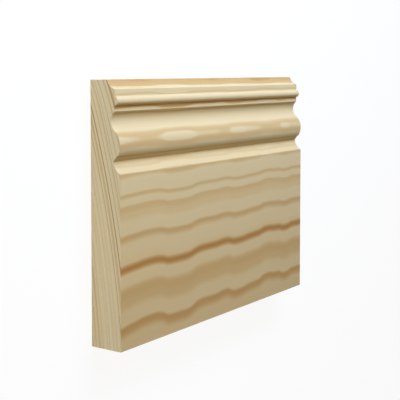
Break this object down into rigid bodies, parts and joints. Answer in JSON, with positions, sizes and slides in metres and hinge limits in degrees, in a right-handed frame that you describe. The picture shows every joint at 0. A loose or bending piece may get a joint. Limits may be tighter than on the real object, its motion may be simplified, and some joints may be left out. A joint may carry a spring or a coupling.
{
  "type": "skirting board length",
  "caption": "Short length of planed softwood skirting board with a plain lower face and a moulded top: ogee, bead, fillets and coves.",
  "frame": {"origin": "centre of the flat back, at mid length and mid height of the board", "axes": "+X along the length, +Y up the board from its floor edge to its top edge, +Z out of the wall, from the flat back to the moulded face; the board is stored lying on its back"},
  "size_m": [0.195, 0.145, 0.0205],
  "materials": {
    "pine": "planed, unfinished"
  },
  "bodies": {
    "root": {"skirting_board": "pine"}
  },
  "joints": []
}
